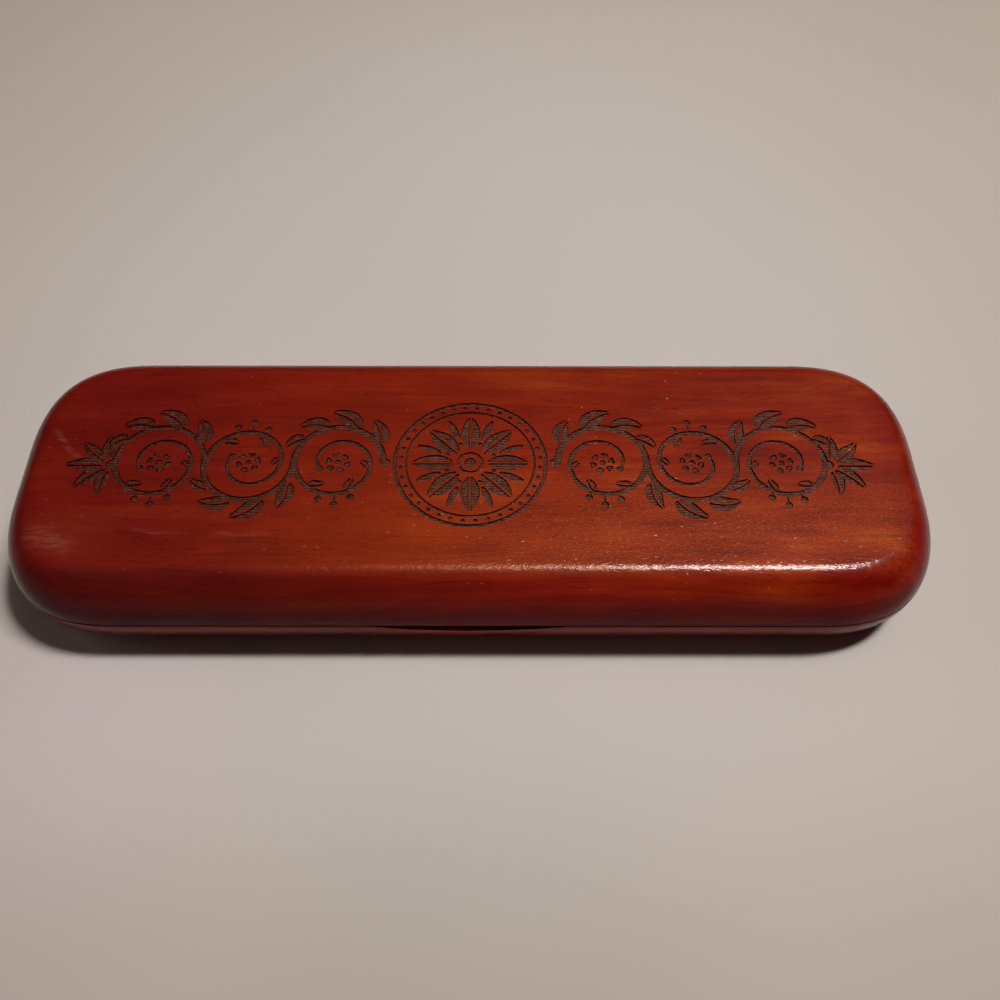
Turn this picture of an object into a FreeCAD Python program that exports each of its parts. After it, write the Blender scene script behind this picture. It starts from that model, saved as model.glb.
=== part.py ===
import FreeCAD, Part
import math
import os

# Hinged wooden pen case, soap-bar shaped: two hollowed halves of equal height meet at a level seam.
# The lid turns on two small brass butt hinges along the back. A shallow scoop in the front rim of the
# base lets a thumb under the lid, and two pairs of disc magnets hold it shut.
# Frame: origin at the centre of the flat underside, +X along the length, +Y to the hinges, +Z up.
# All lengths in millimetres.

# ---- overall ----
LENGTH = 171.45           # outside length at the seam
WIDTH = 57.15             # outside width at the seam
HALF_H = 10.3             # height of each half
GAP = 0.15                # seam between the two rims
CORNER = 23.9             # extent of the plan corner
CORNER_EXP = 2.6          # squareness of the plan corner (2 is a plain arc)
ARC_DEG = 20.0            # turn of each wide arc of a corner
EDGE_IN = 6.9             # how far the rounded edge reaches in over the flat face
EDGE_K1 = 0.457           # the rounded edge's handle at the rim, as a share of the height
EDGE_K2 = 0.615           # and at the flat face, as a share of its reach
EDGE_BREAK = 0.25         # small bevel on each rim's outer corner

# ---- hollow ----
WALL = 7.0
FLOOR = 3.0
CAVITY_BREAK = 0.3

# ---- thumb scoop ----
SCOOP_W = 37.0
SCOOP_D = 1.9
SCOOP_IN = 5.2

# ---- hinges ----
HINGE_X = 50.0            # centre of each hinge from the middle
HINGE_L = 18.0
LEAF_W = 6.3              # from the pin's axis to the leaf's edge
LEAF_T = 0.8
PIN_R = 0.5
PIN_CLEAR = 0.03
PIN_OUT = 0.25            # the pin's axis lies this far behind the back face
KNUCKLES = 5
KNUCKLE_GAP = 0.1
SCREW_X = 5.6             # screws either side of the hinge's centre
SCREW_IN = 3.95           # screws in front of the pin's axis
SCREW_HEAD_R = 1.35
SCREW_HEAD_H = 0.62
SCREW_R = 0.7
SCREW_L = 6.0
RELIEF_R = 1.62           # room in the wood round the knuckles

# ---- magnets ----
MAGNET_R = 2.0
MAGNET_T = 2.0
MAGNET_X = 52.0
MAGNET_PROUD = 0.05

# ---- lining ----
TRAY_CLEAR = 0.3
TRAY_BELOW_RIM = 0.7
GROOVE_L = 147.0
GROOVE_W = 13.6
GROOVE_D = 5.2
GROOVE_Y = 10.2
GROOVE_R = 3.6            # rounding along the groove's floor
FINGER_R = 21.0
FINGER_D = 5.0
BOARD_T = 0.8
PAD_T = 1.7

KNUCKLE_R = PIN_R + PIN_CLEAR + LEAF_T
SEAM_Z = HALF_H + GAP / 2            # the level of the pins
BASE_RIM = HALF_H
LID_RIM = HALF_H + GAP
TOP_Z = LID_RIM + HALF_H
PIN_Y = WIDTH / 2 + PIN_OUT

V = FreeCAD.Vector


# ---------------------------------------------------------------- outlines
# Each plan corner is three tangent arcs: a wide one, a tighter one, and the wide one again.
def corner_radii():
    """Radii that give the corner its extent and the same inset at 45 degrees as a superellipse."""
    a = math.radians(ARC_DEG)
    s, c, q = math.sin(a), math.cos(a), math.sin(math.pi / 4)
    inset = CORNER * (1 - 2 ** (-1 / CORNER_EXP))
    # wide * m11 + tight * m12 = CORNER ; wide * m21 + tight * m22 = inset
    m11, m12, m21, m22 = 1 + s - c, c - s, 1 - c, c - q
    det = m11 * m22 - m12 * m21
    return (CORNER * m22 - inset * m12) / det, (inset * m11 - CORNER * m21) / det


R_WIDE, R_TIGHT = corner_radii()


def corner_arcs(sx, sy):
    """(centre x, centre y, radius, first angle, last angle) of a corner's arcs, in degrees, turning left."""
    a = math.radians(ARC_DEG)
    # in the +X +Y corner, from the short side round to the long side
    c1 = (LENGTH / 2 - R_WIDE, WIDTH / 2 - CORNER)
    k = R_WIDE - R_TIGHT
    c2 = (c1[0] + k * math.cos(a), c1[1] + k * math.sin(a))
    c3 = (LENGTH / 2 - CORNER, WIDTH / 2 - R_WIDE)
    arcs = [(c1[0], c1[1], R_WIDE, 0.0, ARC_DEG), (c2[0], c2[1], R_TIGHT, ARC_DEG, 90.0 - ARC_DEG),
            (c3[0], c3[1], R_WIDE, 90.0 - ARC_DEG, 90.0)]
    out = []
    for x, y, r, t0, t1 in arcs:
        if sx > 0 and sy > 0:
            out.append((x, y, r, t0, t1))
        elif sx < 0 and sy > 0:
            out.append((-x, y, r, 180 - t1, 180 - t0))
        elif sx < 0 and sy < 0:
            out.append((-x, -y, r, 180 + t0, 180 + t1))
        else:
            out.append((x, -y, r, 360 - t1, 360 - t0))
    if (sx > 0) != (sy > 0):
        out.reverse()
    return out


ALL_ARCS = [corner_arcs(1, 1), corner_arcs(-1, 1), corner_arcs(-1, -1), corner_arcs(1, -1)]


def on_arc(arc, t, inset, z):
    x, y, r = arc[0], arc[1], arc[2] - inset
    return V(x + r * math.cos(math.radians(t)), y + r * math.sin(math.radians(t)), z)


def outline(inset, z):
    """The closed plan outline, offset inwards by inset, at height z."""
    edges = []
    for i, arcs in enumerate(ALL_ARCS):
        for arc in arcs:
            t0, t1 = arc[3], arc[4]
            edges.append(Part.Arc(on_arc(arc, t0, inset, z), on_arc(arc, (t0 + t1) / 2, inset, z),
                                  on_arc(arc, t1, inset, z)).toShape())
        nxt = ALL_ARCS[(i + 1) % 4][0]
        edges.append(Part.LineSegment(on_arc(arcs[-1], arcs[-1][4], inset, z),
                                      on_arc(nxt, nxt[3], inset, z)).toShape())
    return Part.Wire(edges)


def prism(inset, z0, z1):
    return Part.Face(outline(inset, z0)).extrude(V(0, 0, z1 - z0))


def edge_curve():
    """The rounded edge from just above the rim's bevel to the flat face, as four control points (inset, height)."""
    p = [(0.0, 0.0), (0.0, EDGE_K1 * HALF_H), (EDGE_IN * (1 - EDGE_K2), HALF_H), (EDGE_IN, HALF_H)]

    def split(t):
        a = [((1 - t) * p[i][0] + t * p[i + 1][0], (1 - t) * p[i][1] + t * p[i + 1][1]) for i in range(3)]
        b = [((1 - t) * a[i][0] + t * a[i + 1][0], (1 - t) * a[i][1] + t * a[i + 1][1]) for i in range(2)]
        c = ((1 - t) * b[0][0] + t * b[1][0], (1 - t) * b[0][1] + t * b[1][1])
        return [c, b[1], a[2], p[3]]

    lo, hi = 0.0, 1.0
    for _ in range(50):
        mid = (lo + hi) / 2
        if split(mid)[0][1] < EDGE_BREAK:
            lo = mid
        else:
            hi = mid
    return split(lo)


def half_shell(rim, up):
    """One rounded half: the rim at z=rim, the flat face HALF_H away, up (+1) or down (-1)."""
    ctrl = edge_curve()
    core_in = EDGE_IN + 1.0

    def section(place):
        """The ring's cross-section as a face; place(inset, height) gives the point."""
        curve = Part.BezierCurve()
        curve.setPoles([place(*c) for c in ctrl])
        pts = [place(EDGE_IN, HALF_H), place(core_in, HALF_H), place(core_in, 0),
               place(EDGE_BREAK, 0), place(*ctrl[0])]
        edges = [curve.toShape()]
        edges += [Part.LineSegment(pts[i], pts[i + 1]).toShape() for i in range(4)]
        return Part.Face(Part.Wire(edges))

    pieces = [prism(core_in, rim, rim + up * HALF_H)]
    for i, arcs in enumerate(ALL_ARCS):
        for arc in arcs:
            def place(inset, h, arc=arc):
                return on_arc(arc, arc[3], inset, rim + up * h)
            pieces.append(section(place).revolve(V(arc[0], arc[1], 0), V(0, 0, 1), arc[4] - arc[3]))
        last, nxt = arcs[-1], ALL_ARCS[(i + 1) % 4][0]

        def place(inset, h, arc=last):
            return on_arc(arc, arc[4], inset, rim + up * h)
        run = on_arc(nxt, nxt[3], 0, 0) - on_arc(last, last[4], 0, 0)
        pieces.append(section(place).extrude(run))
    whole = pieces[0].multiFuse(pieces[1:])
    whole = whole.removeSplitter()
    assert len(whole.Solids) == 1, len(whole.Solids)
    return whole.Solids[0]


def cyl(r, h, pos, axis):
    return Part.makeCylinder(r, h, V(*pos), V(*axis))


def box(x0, x1, y0, y1, z0, z1):
    return Part.makeBox(x1 - x0, y1 - y0, z1 - z0, V(x0, y0, z0))


# ---------------------------------------------------------------- hinges
def knuckle_spans(owner):
    """X spans of the knuckles that belong to the base leaf (0) or the lid leaf (1), about the hinge's centre."""
    each = (HINGE_L - (KNUCKLES - 1) * KNUCKLE_GAP) / KNUCKLES
    out = []
    for i in range(KNUCKLES):
        a = -HINGE_L / 2 + i * (each + KNUCKLE_GAP)
        if i % 2 == owner:
            out.append((a, a + each))
    return out


def leaf(cx, side):
    """side -1 is the base leaf, +1 the lid leaf. The plate lies flush in its rim and curls round the pin."""
    rim = BASE_RIM if side < 0 else LID_RIM
    z0, z1 = (rim - LEAF_T, rim) if side < 0 else (rim, rim + LEAF_T)
    owner = 0 if side < 0 else 1
    plate = box(cx - HINGE_L / 2, cx + HINGE_L / 2, PIN_Y - LEAF_W, PIN_Y - PIN_R - PIN_CLEAR - 0.1, z0, z1)
    # soft corners at the inner edge of the plate
    edges = [e for e in plate.Edges
             if abs(e.BoundBox.YLength) < 1e-6 and abs(e.BoundBox.XLength) < 1e-6
             and abs(e.BoundBox.YMin - (PIN_Y - LEAF_W)) < 1e-6]
    plate = plate.makeFillet(0.9, edges)
    for a, b in knuckle_spans(1 - owner):
        plate = plate.cut(box(cx + a - KNUCKLE_GAP, cx + b + KNUCKLE_GAP,
                              PIN_Y - KNUCKLE_R - 0.2, PIN_Y + 3, z0 - 1, z1 + 1))
    shape = plate
    for a, b in knuckle_spans(owner):
        shape = shape.fuse(cyl(KNUCKLE_R, b - a, (cx + a, PIN_Y, SEAM_Z), (1, 0, 0)))
    bore = PIN_R + (0 if side < 0 else PIN_CLEAR)      # tight in the base leaf, free in the lid leaf
    shape = shape.cut(cyl(bore, HINGE_L + 2, (cx - HINGE_L / 2 - 1, PIN_Y, SEAM_Z), (1, 0, 0)))
    for s in (-1, 1):
        x, y = cx + s * SCREW_X, PIN_Y - SCREW_IN
        if side < 0:
            sink = Part.makeCone(SCREW_R + 0.08, SCREW_HEAD_R + 0.08, SCREW_HEAD_H + 0.03,
                                 V(x, y, z1 - SCREW_HEAD_H - 0.03), V(0, 0, 1))
        else:
            sink = Part.makeCone(SCREW_R + 0.08, SCREW_HEAD_R + 0.08, SCREW_HEAD_H + 0.03,
                                 V(x, y, z0 + SCREW_HEAD_H + 0.03), V(0, 0, -1))
        shape = shape.cut(sink)
        shape = shape.cut(cyl(SCREW_R + 0.08, 4, (x, y, rim - 2), (0, 0, 1)))
    shape = shape.removeSplitter()
    assert len(shape.Solids) == 1, (cx, side, len(shape.Solids))
    return shape.Solids[0]


def pin(cx):
    body = cyl(PIN_R, HINGE_L + 0.1, (cx - HINGE_L / 2 - 0.05, PIN_Y, SEAM_Z), (1, 0, 0))
    for s in (-1, 1):
        head = Part.makeCone(PIN_R + 0.28, PIN_R - 0.05, 0.3,
                             V(cx + s * (HINGE_L / 2 + 0.05), PIN_Y, SEAM_Z), V(s, 0, 0))
        body = body.fuse(head)
    return body.removeSplitter().Solids[0]


def screw(cx, s, side):
    """Countersunk cross-head wood screw. side -1 points down into the base, +1 up into the lid."""
    x, y = cx + s * SCREW_X, PIN_Y - SCREW_IN
    rim = BASE_RIM if side < 0 else LID_RIM
    d = V(0, 0, side)
    top = V(x, y, rim + side * 0.02)
    head = Part.makeCone(SCREW_HEAD_R, SCREW_R, SCREW_HEAD_H, top, d)
    shank = Part.makeCylinder(SCREW_R, SCREW_L - 1.6 - SCREW_HEAD_H, top + d * SCREW_HEAD_H, d)
    tip = Part.makeCone(SCREW_R, 0.12, 1.6, top + d * (SCREW_L - 1.6), d)
    whole = head.fuse(shank).fuse(tip)
    a = math.radians(25 + 40 * s + (15 if side > 0 else 0) + cx)
    for k in (0, 1):
        slot = Part.makeBox(1.7, 0.34, 0.8, V(-0.85, -0.17, -0.4))
        slot.rotate(V(0, 0, 0), V(0, 0, 1), math.degrees(a) + 90 * k)
        slot.translate(top)
        whole = whole.cut(slot)
    return whole.removeSplitter().Solids[0]


# ---------------------------------------------------------------- fittings
hinges = {}
for label, cx in (("left", -HINGE_X), ("right", HINGE_X)):
    hinges["hinge_%s_base_leaf" % label] = leaf(cx, -1)
    hinges["hinge_%s_lid_leaf" % label] = leaf(cx, 1)
    hinges["hinge_%s_pin" % label] = pin(cx)
    for where, s in (("outer", -1 if cx < 0 else 1), ("inner", 1 if cx < 0 else -1)):
        hinges["hinge_%s_base_screw_%s" % (label, where)] = screw(cx, s, -1)
        hinges["hinge_%s_lid_screw_%s" % (label, where)] = screw(cx, s, 1)

MAGNET_Y = -(WIDTH / 2 - WALL / 2 - 0.15)
magnets = {}
for label, cx in (("left", -MAGNET_X), ("right", MAGNET_X)):
    magnets["base_magnet_%s" % label] = cyl(
        MAGNET_R, MAGNET_T, (cx, MAGNET_Y, BASE_RIM + MAGNET_PROUD - MAGNET_T), (0, 0, 1))
    magnets["lid_magnet_%s" % label] = cyl(
        MAGNET_R, MAGNET_T, (cx, MAGNET_Y, LID_RIM - MAGNET_PROUD), (0, 0, 1))


def fit_out(shell, side):
    """Cuts the mortises, knuckle relief, screw and magnet holes of one half."""
    rim = BASE_RIM if side < 0 else LID_RIM
    for label, cx in (("left", -HINGE_X), ("right", HINGE_X)):
        z0, z1 = (rim - LEAF_T - 0.02, rim + 1) if side < 0 else (rim - 1, rim + LEAF_T + 0.02)
        shell = shell.cut(box(cx - HINGE_L / 2 - 0.06, cx + HINGE_L / 2 + 0.06,
                              PIN_Y - LEAF_W - 0.06, PIN_Y + 4, z0, z1))
        shell = shell.cut(cyl(RELIEF_R, HINGE_L + 1.2, (cx - HINGE_L / 2 - 0.6, PIN_Y, SEAM_Z), (1, 0, 0)))
        for s in (-1, 1):
            x, y = cx + s * SCREW_X, PIN_Y - SCREW_IN
            d = V(0, 0, side)
            top = V(x, y, rim + side * 0.02)
            shell = shell.cut(Part.makeCylinder(SCREW_R, SCREW_L - 1.6, top, d))
            shell = shell.cut(Part.makeCone(SCREW_R, 0.12, 1.6, top + d * (SCREW_L - 1.6), d))
        d = V(0, 0, side)
        at = V(cx / abs(cx) * MAGNET_X, MAGNET_Y, rim - side * 1.0)
        shell = shell.cut(Part.makeCylinder(MAGNET_R + 0.03, 1.0 + MAGNET_T - MAGNET_PROUD, at, d))
    return shell


# ---------------------------------------------------------------- shells
base = half_shell(BASE_RIM, -1)
base = base.cut(prism(WALL, FLOOR, BASE_RIM + 1))
lid = half_shell(LID_RIM, 1)
lid = lid.cut(prism(WALL, LID_RIM - 1, TOP_Z - FLOOR))

# thumb scoop: a long shallow hollow that runs out towards the inside of the rim
scoop_r = ((SCOOP_W / 2) ** 2 + SCOOP_D ** 2) / (2 * SCOOP_D)
tilt = math.atan2(SCOOP_D, SCOOP_IN)
along = V(0, math.cos(tilt), math.sin(tilt))
up = V(0, -math.sin(tilt), math.cos(tilt))
foot = V(0, -WIDTH / 2, BASE_RIM - SCOOP_D)
scoop = Part.makeCylinder(scoop_r, 60, foot + up * scoop_r - along * 30, along)
keep = box(-60, 60, -WIDTH / 2 - 5, -WIDTH / 2 + SCOOP_IN + 0.6, BASE_RIM - 5, BASE_RIM + 5)
base = base.cut(scoop.common(keep))

base = fit_out(base, -1)
lid = fit_out(lid, 1)
for name, s in (("base", base), ("lid", lid)):
    assert len(s.Solids) == 1, (name, len(s.Solids))
base = base.Solids[0]
lid = lid.Solids[0]

# ---------------------------------------------------------------- lining
tray = prism(WALL + TRAY_CLEAR, FLOOR, BASE_RIM - TRAY_BELOW_RIM)
tray_top = BASE_RIM - TRAY_BELOW_RIM
for sy in (-1, 1):
    # a groove with a rounded floor and half-round ends
    y = sy * GROOVE_Y
    half = GROOVE_W / 2
    g = box(-GROOVE_L / 2 + half, GROOVE_L / 2 - half, y - half, y + half, tray_top - GROOVE_D, tray_top + 2)
    for sx in (-1, 1):
        g = g.fuse(cyl(half, GROOVE_D + 2, (sx * (GROOVE_L / 2 - half), y, tray_top - GROOVE_D), (0, 0, 1)))
    g = g.removeSplitter()
    low = [e for e in g.Edges if e.BoundBox.ZMax < tray_top - GROOVE_D + 1e-4]
    g = g.makeFillet(GROOVE_R, low)
    tray = tray.cut(g)
finger_z = tray_top - FINGER_D + FINGER_R
finger = cyl(FINGER_R, 2 * (GROOVE_Y + GROOVE_W / 2 - 1.0), (0, -(GROOVE_Y + GROOVE_W / 2 - 1.0), finger_z), (0, 1, 0))
tray = tray.cut(finger)
assert len(tray.Solids) == 1, len(tray.Solids)
tray = tray.Solids[0]

board = prism(WALL + 0.25, TOP_Z - FLOOR - BOARD_T, TOP_Z - FLOOR)
pad = prism(WALL + 0.45, TOP_Z - FLOOR - BOARD_T - PAD_T, TOP_Z - FLOOR - BOARD_T)

# ---------------------------------------------------------------- write
parts = {"base_shell": base, "lid_shell": lid, "pen_tray": tray,
         "lid_lining_board": board, "lid_lining_pad": pad}
parts.update(hinges)
parts.update(magnets)
os.makedirs("parts", exist_ok=True)
for name, shape in parts.items():
    assert shape.isValid(), name
    shape.exportStep("parts/%s.step" % name)
    b = shape.optimalBoundingBox(False, False)
    print("%-30s %8.2f mm3  x %.2f..%.2f  y %.2f..%.2f  z %.2f..%.2f" % (
        name, shape.Volume, b.XMin, b.XMax, b.YMin, b.YMax, b.ZMin, b.ZMax))
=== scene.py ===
import math

import bmesh
import bpy
import numpy as np
from mathutils import Matrix, Vector
from mathutils.geometry import delaunay_2d_cdt


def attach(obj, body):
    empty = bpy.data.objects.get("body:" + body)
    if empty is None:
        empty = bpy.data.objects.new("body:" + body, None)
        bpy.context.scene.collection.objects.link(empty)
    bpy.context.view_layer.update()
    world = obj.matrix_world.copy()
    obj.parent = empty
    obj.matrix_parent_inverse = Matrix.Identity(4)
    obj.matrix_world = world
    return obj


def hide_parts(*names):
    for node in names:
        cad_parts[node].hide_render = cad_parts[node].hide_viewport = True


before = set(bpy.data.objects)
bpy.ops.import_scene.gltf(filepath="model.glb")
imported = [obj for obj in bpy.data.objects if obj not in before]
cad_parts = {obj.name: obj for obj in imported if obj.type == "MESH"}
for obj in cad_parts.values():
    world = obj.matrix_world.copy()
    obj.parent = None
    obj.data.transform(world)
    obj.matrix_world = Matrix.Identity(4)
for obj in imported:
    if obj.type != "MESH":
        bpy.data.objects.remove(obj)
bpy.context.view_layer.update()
SCENE = bpy.context.scene
SEED = np.random.RandomState(20)

# ------------------------------------------------------------------ sizes, in millimetres, as the CAD has them
MM = 0.001
LENGTH, WIDTH, HALF_H, GAP = 171.45, 57.15, 10.3, 0.15
CORNER, CORNER_EXP = 23.9, 2.6
EDGE_IN, EDGE_K1, EDGE_K2, EDGE_BREAK = 6.9, 0.457, 0.615, 0.25
WALL, FLOOR, CAVITY_BREAK = 7.0, 3.0, 0.3
SCOOP_W, SCOOP_D, SCOOP_IN = 37.0, 1.9, 5.2
HINGE_X, HINGE_L, LEAF_W, LEAF_T, PIN_OUT, RELIEF_R = 50.0, 18.0, 6.3, 0.8, 0.25, 1.62
MAGNET_R, MAGNET_T, MAGNET_X, MAGNET_PROUD = 2.0, 2.0, 52.0, 0.05
BASE_RIM, LID_RIM = HALF_H, HALF_H + GAP
TOP_Z, SEAM_Z = HALF_H * 2 + GAP, HALF_H + GAP / 2
PIN_Y = WIDTH / 2 + PIN_OUT
MAGNET_Y = -(WIDTH / 2 - WALL / 2 - 0.15)
ENGRAVE, RAMP = 0.34, 0.085


# ------------------------------------------------------------------ plan outline
def quadrant(n):
    """The corner of the +X +Y quadrant, evenly spaced, with its outward normals."""
    e = CORNER_EXP
    a = np.linspace(0, math.pi / 2, 6001)
    c, s = np.cos(a), np.sin(a)
    c[-1], s[0] = 0.0, 0.0
    r = CORNER / (c ** e + s ** e) ** (1 / e)
    x, y = r * c, r * s
    d = np.r_[0, np.cumsum(np.hypot(np.diff(x), np.diff(y)))]
    if n is not None:
        k = np.linspace(0, d[-1], n + 1)
        x, y = np.interp(k, d, x), np.interp(k, d, y)
    nx, ny = (x / CORNER) ** (e - 1), (y / CORNER) ** (e - 1)
    m = np.hypot(nx, ny)
    p = np.c_[LENGTH / 2 - CORNER + x, WIDTH / 2 - CORNER + y]
    return p, np.c_[nx / m, ny / m]


def loop_points(nc=56, nl=84, ns=10):
    """The whole outline, anticlockwise, and its outward normals."""
    q, m = quadrant(nc)
    cx, cy = LENGTH / 2 - CORNER, WIDTH / 2 - CORNER
    pts, nor = [], []

    def add(p, n):
        pts.append(p)
        nor.append(n)

    def run(a, b, n, count):
        t = (np.arange(1, count) / count)[:, None]
        add(np.array(a) * (1 - t) + np.array(b) * t, np.tile(n, (count - 1, 1)))
    add(q, m)
    run((cx, WIDTH / 2), (-cx, WIDTH / 2), (0.0, 1.0), nl)
    add(q[::-1] * [-1, 1], m[::-1] * [-1, 1])
    run((-LENGTH / 2, cy), (-LENGTH / 2, -cy), (-1.0, 0.0), ns)
    add(q * [-1, -1], m * [-1, -1])
    run((-cx, -WIDTH / 2), (cx, -WIDTH / 2), (0.0, -1.0), nl)
    add(q[::-1] * [1, -1], m[::-1] * [1, -1])
    run((LENGTH / 2, -cy), (LENGTH / 2, cy), (1.0, 0.0), ns)
    return np.concatenate(pts), np.concatenate(nor)


PLAN, PLAN_N = loop_points()
DENSE, DENSE_N = quadrant(None)


def inset_of(xy):
    """How far inside the outline each point lies, and the outline's normal there."""
    xy = np.asarray(xy, float)
    ax, ay = np.abs(xy[:, 0]), np.abs(xy[:, 1])
    cx, cy = LENGTH / 2 - CORNER, WIDTH / 2 - CORNER
    inset = np.minimum(WIDTH / 2 - ay, LENGTH / 2 - ax)
    nor = np.where((WIDTH / 2 - ay < LENGTH / 2 - ax)[:, None], [[0.0, 1.0]], [[1.0, 0.0]])
    corner = np.where((ax > cx) & (ay > cy))[0]
    for block in np.array_split(corner, max(1, len(corner) // 400)):
        if not len(block):
            continue
        p = np.c_[ax[block], ay[block]]
        d = ((p[:, None, :] - DENSE[None, ::4, :]) ** 2).sum(2)
        k = d.argmin(1) * 4
        v = DENSE[k] - p
        nor[block] = DENSE_N[k]
        inset[block] = (v * DENSE_N[k]).sum(1)
    return inset, nor * np.sign(np.where(np.abs(xy) < 1e-9, 1.0, xy))


# ------------------------------------------------------------------ rounded edge
def edge_at(t):
    """(inset, height) on the rounded edge and its outward slope, for t from 0 at the rim to 1 at the flat face."""
    t = np.asarray(t, float)
    p = [(0.0, 0.0), (0.0, EDGE_K1 * HALF_H), (EDGE_IN * (1 - EDGE_K2), HALF_H), (EDGE_IN, HALF_H)]
    b = [(1 - t) ** 3, 3 * t * (1 - t) ** 2, 3 * t ** 2 * (1 - t), t ** 3]
    pos = sum(np.multiply.outer(w, np.array(q)) for w, q in zip(b, p))
    db = [-3 * (1 - t) ** 2, 3 * (1 - t) ** 2 - 6 * t * (1 - t), 6 * t * (1 - t) - 3 * t ** 2, 3 * t ** 2]
    tan = sum(np.multiply.outer(w, np.array(q)) for w, q in zip(db, p))
    tan /= np.hypot(tan[..., 0], tan[..., 1])[..., None]
    return pos, np.stack([tan[..., 1], tan[..., 0]], -1)      # (sideways, along the height)


TABLE_T = np.linspace(0, 1, 1501)
TABLE_P, TABLE_N = edge_at(TABLE_T)


def make_mesh(name, verts, faces, mats=None, smooth=True):
    me = bpy.data.meshes.new(name)
    me.from_pydata([tuple(v) for v in (np.asarray(verts, float) * MM)], [], faces)
    if mats is not None:
        me.polygons.foreach_set("material_index", np.asarray(mats, np.int32))
    me.polygons.foreach_set("use_smooth", np.full(len(faces), smooth))
    me.update()
    o = bpy.data.objects.new(name, me)
    SCENE.collection.objects.link(o)
    return o


def drop(o):
    me = o.data
    bpy.data.objects.remove(o, do_unlink=True)
    if me.users == 0:
        bpy.data.meshes.remove(me)


OUTER, FLAT, RIM, INSIDE, CUT = range(5)
TEMP = [bpy.data.materials.new("temp%d" % i) for i in range(5)]


def shell(name, rim, up):
    """A hollow half: rings from the flat face round the edge, over the rim and down the cavity."""
    rows = []
    lo = float(np.interp(EDGE_BREAK, TABLE_P[:, 1], TABLE_T))
    # closer together where the edge turns into the flat face
    ts = 1 - (1 - lo) * (np.linspace(0, 1, 27) ** 1.25)
    for t in ts:
        p, _ = edge_at(t)
        rows.append((p[0], p[1], OUTER))
    b = EDGE_BREAK
    for a in (22.5, 45, 67.5, 90):
        rows.append((b - b * math.cos(math.radians(a)), b - b * math.sin(math.radians(a)), RIM))
    c = CAVITY_BREAK
    rows.append((1.6, 0.0, RIM))
    rows.append((WALL - c - 0.8, 0.0, RIM))
    for a in (0, 30, 60, 90):
        rows.append((WALL - c + c * math.sin(math.radians(a)), c - c * math.cos(math.radians(a)), RIM))
    deep = HALF_H - FLOOR
    rows.append((WALL, deep - 0.8, INSIDE))
    for a in (30, 60, 90):
        rows.append((WALL + 0.8 - 0.8 * math.cos(math.radians(a)), deep - 0.8 + 0.8 * math.sin(math.radians(a)), INSIDE))
    n = len(PLAN)
    verts = np.concatenate([np.c_[PLAN - ins * PLAN_N, np.full(n, rim + up * h)] for ins, h, _ in rows])
    faces, mats = [], []
    for i in range(len(rows) - 1):
        for j in range(n):
            k = (j + 1) % n
            q = (i * n + j, (i + 1) * n + j, (i + 1) * n + k, i * n + k)
            faces.append(q if up > 0 else q[::-1])
            mats.append(rows[i + 1][2])
    cap = list(range(n))
    faces.append(cap if up > 0 else cap[::-1])
    mats.append(FLAT)
    cap = [(len(rows) - 1) * n + j for j in range(n)]
    faces.append(cap[::-1] if up > 0 else cap)
    mats.append(INSIDE)
    o = make_mesh(name, verts, faces, mats)
    for m in TEMP:
        o.data.materials.append(m)
    return o


def prism_cutter(name, polygon, direction):
    """A closed solid: a polygon of points pushed along a direction."""
    p = np.asarray(polygon, float)
    n = len(p)
    verts = np.concatenate([p, p + np.asarray(direction, float)])
    faces = [tuple(range(n))[::-1], tuple(range(n, 2 * n))]
    faces += [(i, (i + 1) % n, n + (i + 1) % n, n + i) for i in range(n)]
    o = make_mesh(name, verts, faces, [CUT] * len(faces))
    bm = bmesh.new()
    bm.from_mesh(o.data)
    bmesh.ops.recalc_face_normals(bm, faces=bm.faces)
    bm.to_mesh(o.data)
    bm.free()
    for m in TEMP:
        o.data.materials.append(m)
    return o


def box_cutter(name, x0, x1, y0, y1, z0, z1):
    return prism_cutter(name, [(x0, y0, z0), (x1, y0, z0), (x1, y1, z0), (x0, y1, z0)], (0, 0, z1 - z0))


def round_cutter(name, r, at, axis, n=40):
    a = np.linspace(0, 2 * math.pi, n, endpoint=False)
    axis = np.asarray(axis, float)
    if abs(axis[0]) > abs(axis[2]):
        ring = np.c_[np.zeros(n), r * np.cos(a), r * np.sin(a)]
    else:
        ring = np.c_[r * np.cos(a), r * np.sin(a), np.zeros(n)]
    return prism_cutter(name, ring + np.asarray(at, float), axis)


def cut(o, cutters):
    for c in cutters:
        m = o.modifiers.new("cut", "BOOLEAN")
        m.operation, m.solver, m.object = "DIFFERENCE", "EXACT", c
        dg = bpy.context.evaluated_depsgraph_get()
        me = bpy.data.meshes.new_from_object(o.evaluated_get(dg))
        old = o.data
        o.modifiers.clear()
        o.data = me
        bpy.data.meshes.remove(old)
        drop(c)


def fittings(side):
    rim = BASE_RIM if side < 0 else LID_RIM
    out = []
    for cx in (-HINGE_X, HINGE_X):
        z0, z1 = (rim - LEAF_T - 0.02, rim + 1) if side < 0 else (rim - 1, rim + LEAF_T + 0.02)
        out.append(box_cutter("mortise", cx - HINGE_L / 2 - 0.06, cx + HINGE_L / 2 + 0.06,
                              PIN_Y - LEAF_W - 0.06, PIN_Y + 4, z0, z1))
        out.append(round_cutter("relief", RELIEF_R, (cx - HINGE_L / 2 - 0.6, PIN_Y, SEAM_Z), (HINGE_L + 1.2, 0, 0), 48))
        deep = 1.0 + MAGNET_T - MAGNET_PROUD
        out.append(round_cutter("bore", MAGNET_R + 0.03, (math.copysign(MAGNET_X, cx), MAGNET_Y, rim - side * 1.0),
                                (0, 0, side * deep), 48))
    return out


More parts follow.
